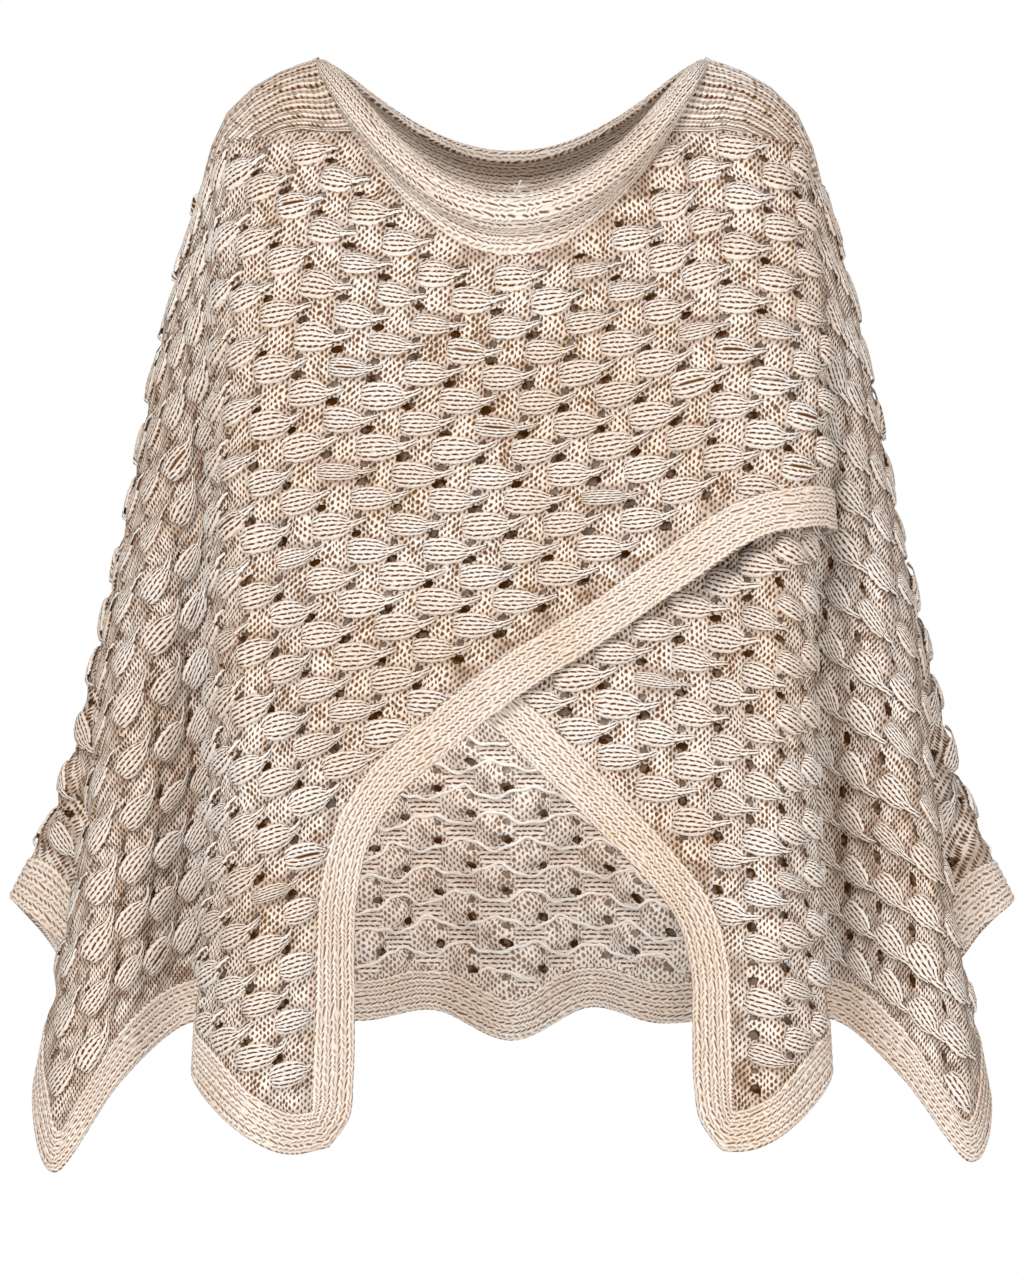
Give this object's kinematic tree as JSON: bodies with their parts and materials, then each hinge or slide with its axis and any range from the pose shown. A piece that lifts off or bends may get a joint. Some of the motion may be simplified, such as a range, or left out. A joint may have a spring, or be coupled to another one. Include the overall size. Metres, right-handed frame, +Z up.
{
  "type": "knitted crossover poncho cardigan",
  "caption": "Sleeveless lace-knit wrap whose two fronts cross over and part below, with ribbed bands and a rolled wide neck, shown filled out with no wearer.",
  "frame": {"origin": "on the shoulder line, midway between the wearer's two shoulders", "axes": "+Z up; the garment's front faces -Y; the wearer's left is at +X"},
  "size_m": [0.7356, 0.3891, 0.8166],
  "materials": {
    "lace": "matte leaf-stitch lace knit in a soft spun yarn, beige",
    "rib": "matte ribbed knit in the same yarn, beige"
  },
  "bodies": {
    "root": {"back_panel": "lace", "over_front": "lace", "under_front": "lace", "over_front_band": "rib", "under_front_band": "rib", "back_hem_band": "rib", "saddle_right": "rib", "saddle_left": "rib", "neckband_front": "rib", "neckband_back": "rib"}
  },
  "joints": []
}
